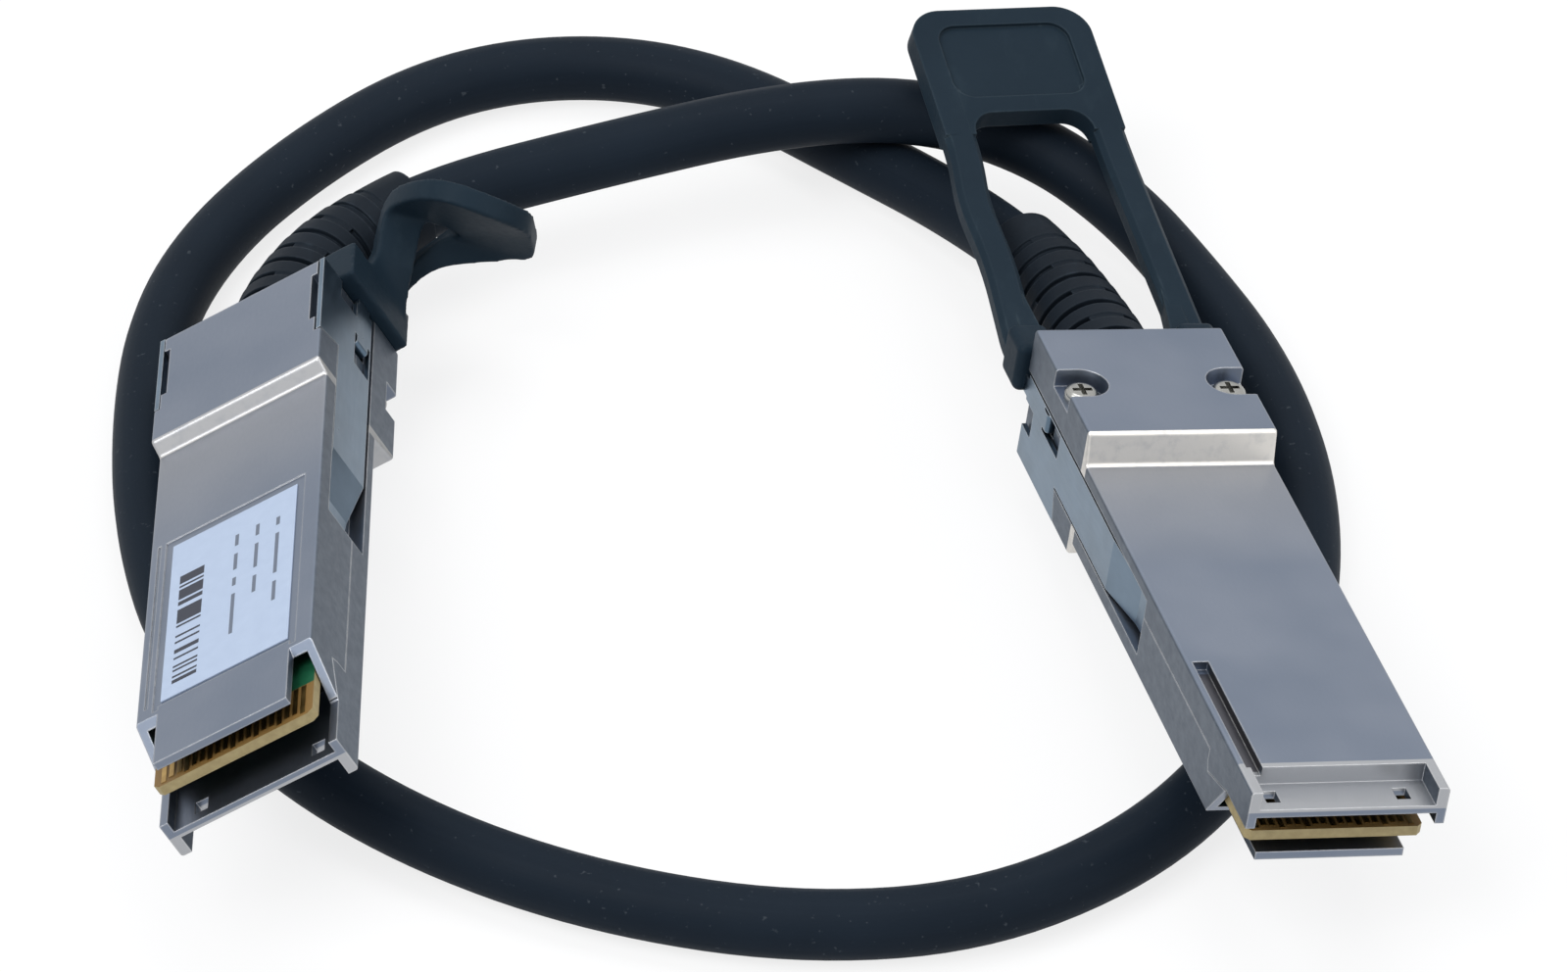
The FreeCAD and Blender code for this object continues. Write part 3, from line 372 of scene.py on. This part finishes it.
class Nodes:
    """A node tree. Every node is made by one method: its kind, then its settings, then its sockets."""

    def __init__(self, tree):
        self.tree = tree

    def node(self, kind, settings, sockets, output=0):
        made = self.tree.nodes.new(kind)
        for key, value in settings.items():
            if key == "stops":
                ramp = made.color_ramp
                while len(ramp.elements) < len(value):
                    ramp.elements.new(0.5)
                for element, (position, colour) in zip(ramp.elements, value):
                    element.position = position
                    element.color = (*colour, 1.0)
            else:
                setattr(made, key, value)
        for key, value in sockets.items():
            if isinstance(value, Channel):
                self.tree.links.new(value.socket, made.inputs[key])
            else:
                made.inputs[key].default_value = value
        return Channel(self, made.outputs[output]) if made.outputs else None

    def seen_directly(self):
        """1 where the camera looks straight at a surface or sees it in metal or glass."""
        rays = ("Is Camera Ray", "Is Glossy Ray", "Is Transmission Ray")
        camera, glossy, through = (self.node("ShaderNodeLightPath", {}, {}, output=ray) for ray in rays)
        return camera.or_more(glossy).or_more(through)


class Finish(Nodes):
    """A material on one Principled BSDF. What is the same all over is set on the shader's own sockets."""

    def __init__(self, name, **constants):
        self.material = bpy.data.materials.new(name)
        self.material.use_nodes = True
        super().__init__(self.material.node_tree)
        self.shader = self.tree.nodes["Principled BSDF"]
        for socket, value in constants.items():
            self.shader.inputs[socket.replace("_", " ")].default_value = value

    def feed(self, socket, channel):
        self.tree.links.new(channel.socket, self.shader.inputs[socket])

    def place(self):
        return self.node("ShaderNodeTexCoord", {}, {}, output="Object")

    def in_plug(self, end):
        """Places in the plug's own frame, in metres: x from the nose, y across, z from the label face."""
        turn = plug_turn(end)
        origin = PLUG_EXIT[end] - turn.to_matrix() @ EXIT_IN_PLUG
        sockets = {"Vector": self.place(), "Location": origin, "Rotation": turn}
        return self.node("ShaderNodeMapping", {"vector_type": "TEXTURE"}, sockets)

    def facing(self, end, axis):
        """How squarely a surface faces along one axis of the plug, either way: 1 square on, 0 edge on."""
        heading = plug_turn(end).to_matrix() @ Vector(axis)
        normal = self.node("ShaderNodeNewGeometry", {}, {}, output="Normal")
        return abs(self.dot(normal, heading))

    def dot(self, first, second):
        settings = {"operation": "DOT_PRODUCT"}
        return self.node("ShaderNodeVectorMath", settings, {0: first, 1: second}, output="Value")

    def axis(self, vector, name):
        return self.node("ShaderNodeSeparateXYZ", {}, {"Vector": vector}, output=name)

    def stretched(self, vector, scale):
        return self.node("ShaderNodeVectorMath", {"operation": "MULTIPLY"}, {0: vector, 1: scale})

    def noise(self, vector, scale, detail):
        sockets = {"Vector": vector, "Scale": scale, "Detail": detail, "Roughness": NOISE_ROUGHNESS}
        return self.node("ShaderNodeTexNoise", {}, sockets)

    def chance(self, count):
        """A number from 0 to 1 that is the same for each count."""
        return self.node("ShaderNodeTexWhiteNoise", {"noise_dimensions": "1D"}, {"W": count})

    def mix(self, factor, first, second):
        sockets = {0: factor, 6: first, 7: second}
        return self.node("ShaderNodeMix", {"data_type": "RGBA"}, sockets, output=2)

    def ramp(self, factor, stops):
        return self.node("ShaderNodeValToRGB", {"stops": stops}, {"Fac": factor})

    def rounded(self, radius):
        return self.node("ShaderNodeBevel", {"samples": BEVEL_SAMPLES}, {"Radius": radius})

    def worn_edges(self, radius, gain):
        """1 along edges, where the surface turns within the radius, and 0 elsewhere."""
        plain = self.node("ShaderNodeNewGeometry", {}, {}, output="Normal")
        return ((1.0 - self.dot(self.rounded(radius), plain)) * gain).clamped()

    def grain(self, height, strength, distance, soft_edge=0.0):
        sockets = {"Height": height, "Strength": strength, "Distance": distance}
        if soft_edge:
            sockets["Normal"] = self.rounded(soft_edge)
        self.feed("Normal", self.node("ShaderNodeBump", {}, sockets))


def plug_turn(end):
    yaw, pitch, roll = (math.radians(angle) for angle in PLUG_TURN[end])
    return Euler((roll, pitch, yaw))


def rgb(red, green, blue):
    """A colour as it is seen, in 0 to 255, as linear light."""
    return tuple(((level / 255 + 0.055) / 1.055) ** 2.4 for level in (red, green, blue))


def rgba(red, green, blue):
    return (*rgb(red, green, blue), 1.0)


def nickel_plate(end):
    """Satin nickel on a die casting, with painted light and shade: the sides painted darker, the faces
    painted lighter and warmer toward the step, a painted highlight on the step and at the nose, painted
    shade in the keyway beside the nose, and edges that are partly worn and partly a painted highlight.
    """
    finish = Finish("nickel_plate_%s" % end, Metallic=1.0)
    spot = finish.in_plug(end)
    along = finish.axis(spot, "X")
    across = abs(finish.axis(spot, "Y"))
    height = finish.axis(spot, "Z")
    cloud = finish.noise(spot, scale=75.0, detail=2.0)
    speck = finish.noise(spot, scale=900.0, detail=4.0)
    grain = finish.noise(finish.stretched(spot, (0.35, 1.0, 1.0)), scale=3200.0, detail=2.0)
    edge = finish.worn_edges(radius=0.3 * MM, gain=4.0)
    # Painted shade: the plug's sides, found by which way they face, get a darker copy of the plate colour
    side = finish.facing(end, (0.0, 1.0, 0.0)).fade(low=0.6, high=0.8)
    # Painted highlight on the step face, stronger on the right plug than the left
    step = along.between(*STEP_X) * (0.55 + speck * 0.9)
    # Painted light: the faces grow lighter and warmer toward the step
    painted_light_near_step = along.fade(*PAINTED_LIGHT_NEAR_STEP_X) * (along < PAINTED_LIGHT_NEAR_STEP_END_X)
    # Painted highlight on the ledge at the nose
    painted_ledge_highlight = (along < NOSE_LEDGE_X) * (height > SLOT_Z[0]) * (1.0 - side)
    # Painted shade inside the keyway beside the nose
    painted_slot_shade = along.between(*SLOT_X) * (across < SLOT_Y) * height.between(*SLOT_Z)
    face = finish.ramp(cloud, [(0.3, rgb(112, 122, 138)), (0.7, rgb(124, 132, 146))])
    face = finish.mix(painted_light_near_step * 0.6, face, rgba(156, 156, 158))
    painted_side_shade = finish.ramp(speck, [(0.35, rgb(79, 88, 99)), (0.65, rgb(94, 103, 113))])
    colour = finish.mix(side * 0.85, face, painted_side_shade)
    colour = finish.mix(painted_ledge_highlight * 0.65, colour, rgba(186, 186, 186))
    colour = finish.mix(painted_slot_shade * 0.7, colour, rgba(70, 62, 58))
    colour = finish.mix(step.clamped() * STEP_PAINTED_HIGHLIGHT[end], colour, rgba(212, 209, 204))
    # Edges lightened, partly real wear and partly a painted highlight
    colour = finish.mix((edge * (0.25 + speck * 0.7)).clamped(), colour, rgba(200, 201, 202))
    finish.feed("Base Color", colour)
    finish.feed("Roughness", (0.28 + grain * 0.12 + cloud * 0.1 + side * 0.08 - edge * 0.06).clamped())
    relief = grain * 0.7 + speck * 0.3
    finish.grain(relief, strength=0.14, distance=0.05 * MM, soft_edge=0.12 * MM)
    return finish.material


def rolled_steel(end):
    """Blue-grey spring steel with the rolling marks along the arm and bright sheared edges."""
    finish = Finish("rolled_steel_%s" % end, Metallic=1.0)
    spot = finish.in_plug(end)
    marks = finish.noise(finish.stretched(spot, (0.12, 1.0, 1.0)), scale=2600.0, detail=3.0)
    cloud = finish.noise(spot, scale=160.0, detail=3.0)
    edge = finish.worn_edges(radius=0.2 * MM, gain=4.0)
    colour = finish.ramp(cloud, [(0.3, rgb(92, 110, 126)), (0.7, rgb(110, 129, 147))])
    finish.feed("Base Color", finish.mix(edge * 0.55, colour, rgba(205, 208, 210)))
    finish.feed("Roughness", (0.2 + marks * 0.12 + cloud * 0.1).clamped())
    finish.grain(marks, strength=0.05, distance=0.03 * MM, soft_edge=0.08 * MM)
    return finish.material


def soft_moulding(name, dark, light, rubbed, roughness, grain_scale):
    """Matt moulded rubber with a fine spark-eroded texture, dull clouds and paler rubbed edges."""
    finish = Finish(name, Specular_IOR_Level=0.06)
    spot = finish.place()
    fine = finish.noise(spot, scale=grain_scale, detail=3.0)
    cloud = finish.noise(spot, scale=110.0, detail=4.0)
    rubbing = finish.noise(finish.stretched(spot, (1.0, 0.4, 1.0)), scale=420.0, detail=4.0)
    scuff = rubbing.fade(low=0.56, high=0.7)
    edge = finish.worn_edges(radius=0.4 * MM, gain=3.0)
    colour = finish.mix(cloud, rgba(*dark), rgba(*light))
    colour = finish.mix((edge * (0.3 + scuff * 0.6) + scuff * 0.06).clamped(), colour, rgba(*rubbed))
    finish.feed("Base Color", colour)
    finish.feed("Roughness", (roughness + fine * 0.16 - edge * 0.1 + scuff * 0.05).clamped())
    finish.grain(fine, strength=0.25, distance=0.06 * MM, soft_edge=0.2 * MM)
    return finish.material


def cable_jacket():
    """Extruded jacket: matt blue-black, with long faint draw marks, handling shine and a little dust."""
    finish = Finish("cable_jacket", Specular_IOR_Level=0.05)
    spot = finish.place()
    along = finish.node("ShaderNodeTexCoord", {}, {}, output="UV")
    draw = finish.noise(finish.stretched(along, (3.0, 60.0, 1.0)), scale=1.0, detail=3.0)
    cloud = finish.noise(spot, scale=60.0, detail=4.0)
    fine = finish.noise(spot, scale=2600.0, detail=2.0)
    dust = finish.noise(spot, scale=1500.0, detail=2.0).fade(low=0.68, high=0.76)
    colour = finish.mix(cloud * 0.7 + draw * 0.3, rgba(16, 23, 31), rgba(28, 37, 47))
    finish.feed("Base Color", finish.mix(dust * 0.25, colour, rgba(92, 98, 104)))
    finish.feed("Roughness", (0.42 + cloud * 0.14 + fine * 0.1).clamped())
    finish.grain(fine * 0.6 + draw * 0.4, strength=0.18, distance=0.06 * MM)
    return finish.material


def circuit_card(end):
    """Green mask on the faces behind the pads, bare cream glass epoxy at the tip and along the cut edges."""
    finish = Finish("circuit_card_%s" % end, Specular_IOR_Level=0.4)
    spot = finish.in_plug(end)
    weave = finish.noise(spot, scale=1400.0, detail=2.0)
    flat = finish.facing(end, (0.0, 0.0, 1.0)) > 0.7
    masked = flat * (finish.axis(spot, "X") > CARD_TIP_X)
    cream = finish.mix(weave, rgba(128, 112, 74), rgba(166, 151, 110))
    bare = finish.mix(flat, cream, rgba(120, 92, 48))
    green = finish.mix(weave, rgba(18, 66, 46), rgba(28, 92, 62))
    finish.feed("Base Color", finish.mix(masked, bare, green))
    finish.feed("Roughness", (0.5 - masked * 0.2 + weave * 0.1).clamped())
    finish.grain(weave, strength=0.1, distance=0.03 * MM)
    return finish.material


def gold_pads():
    """Thin hard gold, a little uneven where it has wiped the socket's springs."""
    finish = Finish("gold_pads", Metallic=1.0)
    spot = finish.place()
    cloud = finish.noise(spot, scale=900.0, detail=2.0)
    finish.feed("Base Color", finish.mix(cloud, rgba(142, 112, 62), rgba(192, 160, 98)))
    finish.feed("Roughness", 0.25 + cloud * 0.15)
    return finish.material


def sticker():
    """Pale blue satin label with a block of plain bars and three rows of plain dashes."""
    finish = Finish("sticker", Specular_IOR_Level=0.25)
    spot = finish.in_plug("left")
    paper = finish.noise(spot, scale=700.0, detail=3.0)
    along = finish.axis(spot, "X")
    across = finish.axis(spot, "Y")
    bars = finish.chance((along / BAR_PITCH).whole()) > BAR_GAP_SHARE
    bars = bars * along.between(*BARS_ALONG) * across.between(*BARS_ACROSS)
    place = (along / DASH_PITCH).whole() + (across / DASH_ROW_PITCH).whole() * DASH_ROW_STRIDE
    dashes = finish.chance(place) > DASH_GAP_SHARE
    rows = sum(across.between(*wide) * along.between(*long) for wide, long in DASH_ROWS)
    blank = finish.mix(paper, rgba(158, 172, 195), rgba(170, 184, 205))
    print_share = (bars + rows * dashes * 0.75).clamped()
    finish.feed("Base Color", finish.mix(print_share, blank, rgba(40, 44, 56)))
    finish.feed("Roughness", 0.34 + paper * 0.12)
    finish.grain(paper, strength=0.05, distance=0.03 * MM)
    return finish.material


def plain_metal(name, dark, light, roughness):
    finish = Finish(name, Metallic=1.0)
    spot = finish.place()
    cloud = finish.noise(spot, scale=800.0, detail=2.0)
    edge = finish.worn_edges(radius=0.15 * MM, gain=4.0)
    colour = finish.mix(cloud, rgba(*dark), rgba(*light))
    finish.feed("Base Color", finish.mix(edge * 0.5, colour, rgba(222, 222, 218)))
    finish.feed("Roughness", roughness + cloud * 0.12)
    return finish.material


def plain_plastic(name, dark, light, roughness):
    finish = Finish(name)
    spot = finish.place()
    cloud = finish.noise(spot, scale=900.0, detail=3.0)
    finish.feed("Base Color", finish.mix(cloud, rgba(*dark), rgba(*light)))
    finish.feed("Roughness", roughness + cloud * 0.12)
    return finish.material


def dress(node, material):
    mesh = bpy.data.objects[node].data
    mesh.materials.clear()
    mesh.materials.append(material)


def dress_nodes(cable, bent_tab):
    boot = soft_moulding(
        "boot_rubber",
        dark=(15, 20, 26),
        light=(28, 35, 43),
        rubbed=(60, 70, 80),
        roughness=0.45,
        grain_scale=1900.0,
    )
    tab = soft_moulding(
        "tab_rubber",
        dark=(20, 32, 42),
        light=(30, 43, 53),
        rubbed=(72, 86, 94),
        roughness=0.42,
        grain_scale=1700.0,
    )
    screw = plain_metal("screw_steel", dark=(140, 140, 138), light=(176, 176, 172), roughness=0.2)
    ferrule = plain_metal("ferrule_brass", dark=(150, 122, 70), light=(180, 150, 92), roughness=0.3)
    spring = plain_metal("spring_wire", dark=(130, 133, 138), light=(168, 170, 174), roughness=0.22)
    chip = plain_plastic("chip_moulding", dark=(18, 18, 20), light=(32, 32, 34), roughness=0.42)
    pairs = plain_plastic("pair_foil", dark=(150, 156, 166), light=(188, 194, 202), roughness=0.32)
    gold = gold_pads()
    for end in ("left", "right"):
        plate = nickel_plate(end)
        steel = rolled_steel(end)
        dress("%s_base_shell" % end, plate)
        dress("%s_cover_shell" % end, plate)
        dress("%s_latch_arm_near" % end, steel)
        dress("%s_latch_arm_far" % end, steel)
        dress("%s_paddle_card" % end, circuit_card(end))
        dress("%s_contact_pads" % end, gold)
        dress("%s_cover_screws" % end, screw)
        dress("%s_memory_chip" % end, chip)
        dress("%s_wire_pairs" % end, pairs)
        dress("%s_crimp_ferrule" % end, ferrule)
        dress("%s_return_springs" % end, spring)
        dress(wind_springs(end).name, spring)
        dress("%s_strain_relief" % end, boot)
        dress("%s_pull_tab" % end, tab)
    dress("left_label", sticker())
    cable.data.materials.append(cable_jacket())
    bent_tab.data.materials.append(tab)


def pale_floor():
    """A white sheet under the object, which keeps a faint shadow."""
    shape = bmesh.new()
    bmesh.ops.create_grid(shape, x_segments=1, y_segments=1, size=FLOOR_HALF)
    mesh = bpy.data.meshes.new("floor")
    shape.to_mesh(mesh)
    shape.free()
    floor = bpy.data.objects.new("floor", mesh)
    bpy.context.collection.objects.link(floor)
    paper = Finish("floor_paper", Base_Color=FLOOR_COLOUR, Roughness=0.9, Specular_IOR_Level=0.1)
    glow = paper.node("ShaderNodeEmission", {}, {"Color": WHITE})
    lit = Channel(paper, paper.shader.outputs[0])
    both = paper.node("ShaderNodeMixShader", {}, {0: paper.seen_directly() * FLOOR_GLOW, 1: lit, 2: glow})
    paper.tree.links.new(both.socket, paper.tree.nodes["Material Output"].inputs["Surface"])
    mesh.materials.append(paper.material)


def soft_box(name, place, size, watts):
    """A large lamp that looks at the middle of the floor."""
    lamp = bpy.data.lights.new(name, "AREA")
    lamp.shape = "RECTANGLE"
    lamp.size, lamp.size_y = size
    lamp.energy = watts
    holder = bpy.data.objects.new(name, lamp)
    holder.location = place
    holder.rotation_euler = (-Vector(place)).to_track_quat("-Z", "Y").to_euler()
    bpy.context.collection.objects.link(holder)


def light_studio():
    world = bpy.data.worlds.new("studio")
    world.use_nodes = True
    world.node_tree.nodes.clear()
    sky = Nodes(world.node_tree)
    tint = {"Color": SURROUND_COLOUR, "Strength": SURROUND_STRENGTH}
    surround = sky.node("ShaderNodeBackground", {}, tint)
    white = sky.node("ShaderNodeBackground", {}, {"Color": WHITE, "Strength": 1.0})
    both = sky.node("ShaderNodeMixShader", {}, {0: sky.seen_directly(), 1: surround, 2: white})
    sky.node("ShaderNodeOutputWorld", {}, {"Surface": both})
    bpy.context.scene.world = world
    soft_box("key_box", place=(-0.5, -0.35, 0.9), size=(0.7, 0.7), watts=8.0)
    soft_box("fill_box", place=(0.8, -0.3, 0.6), size=(0.8, 0.6), watts=3.0)
    soft_box("top_box", place=(0.1, 0.35, 1.0), size=(0.7, 0.5), watts=4.0)


place_camera()
cable = lay_cable()
dress_nodes(cable, bend_left_tab())
pale_floor()
light_studio()
bpy.context.scene.view_settings.view_transform = "Standard"

bpy.context.view_layer.update()
